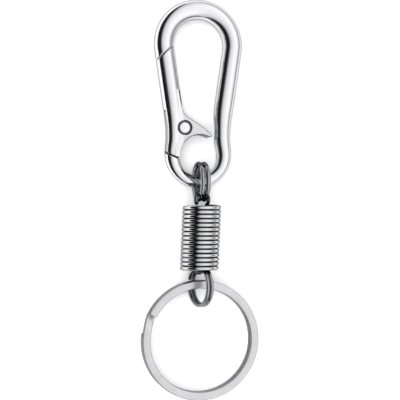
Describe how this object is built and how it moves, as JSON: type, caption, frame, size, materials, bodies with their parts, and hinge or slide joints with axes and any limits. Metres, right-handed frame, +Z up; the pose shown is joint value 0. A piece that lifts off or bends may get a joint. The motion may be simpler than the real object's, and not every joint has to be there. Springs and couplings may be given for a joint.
{
  "type": "carabiner key chain with extension spring",
  "caption": "Metal key chain: a spring-gate carabiner, a split ring, an extension spring, a second split ring and a flat key ring, laid out straight.",
  "frame": {"origin": "on the table, under the middle of the key chain's box, with the chain laid out straight and flat", "axes": "+Y along the chain towards the carabiner's top, +Z up from the table, +X to the right with the gate on the left"},
  "size_m": [0.03, 0.1, 0.0103],
  "materials": {
    "carabiner_cast": "polished, nickel-plated zinc casting",
    "gate_cast": "polished, nickel-plated zinc casting",
    "rivet": "polished steel rivet",
    "return_wire": "drawn spring wire",
    "link_wire": "nickel-plated steel wire",
    "spring_wire": "drawn steel wire",
    "ring_band": "flat steel band, tumbled bright"
  },
  "bodies": {
    "carabiner": {"carabiner_frame": "carabiner_cast", "pivot_pin": "rivet", "gate_return_spring": "return_wire"},
    "gate": {"gate_lever": "gate_cast"},
    "upper_ring": {"upper_split_ring": "link_wire"},
    "coil": {"extension_spring": "spring_wire"},
    "lower_ring": {"lower_split_ring": "link_wire"},
    "key_loop_ring": {"key_ring": "ring_band"}
  },
  "joints": [
    {"name": "gate_hinge", "type": "hinge", "parent": "carabiner", "child": "gate", "pos_m": [-0.0045, 0.0179, 0.00313], "axis": [0, 0, -1], "range_deg": [0, 22], "stiffness_Nm_per_rad": 0.01, "deforming": ["gate_return_spring"]},
    {"name": "upper_ring_swing", "type": "hinge", "parent": "carabiner", "child": "upper_ring", "pos_m": [-0.00057, 0.00455, 0.00313], "axis": [1, 0, 0], "range_deg": [-90, 90]},
    {"name": "spring_swing", "type": "hinge", "parent": "upper_ring", "child": "coil", "pos_m": [-0.00007, 0.00014, 0.00513], "axis": [0, 0, 1], "range_deg": [-35, 35]},
    {"name": "spring_stretch", "type": "slide", "parent": "coil", "child": "lower_ring", "axis": [-0.0454, -0.999, 0], "range_m": [0, 0.01], "stiffness_N_per_m": 1000, "deforming": ["extension_spring"]},
    {"name": "key_ring_swing", "type": "hinge", "parent": "lower_ring", "child": "key_loop_ring", "pos_m": [0, -0.02111, 0.00291], "axis": [1, 0, 0], "range_deg": [-90, 90]}
  ]
}
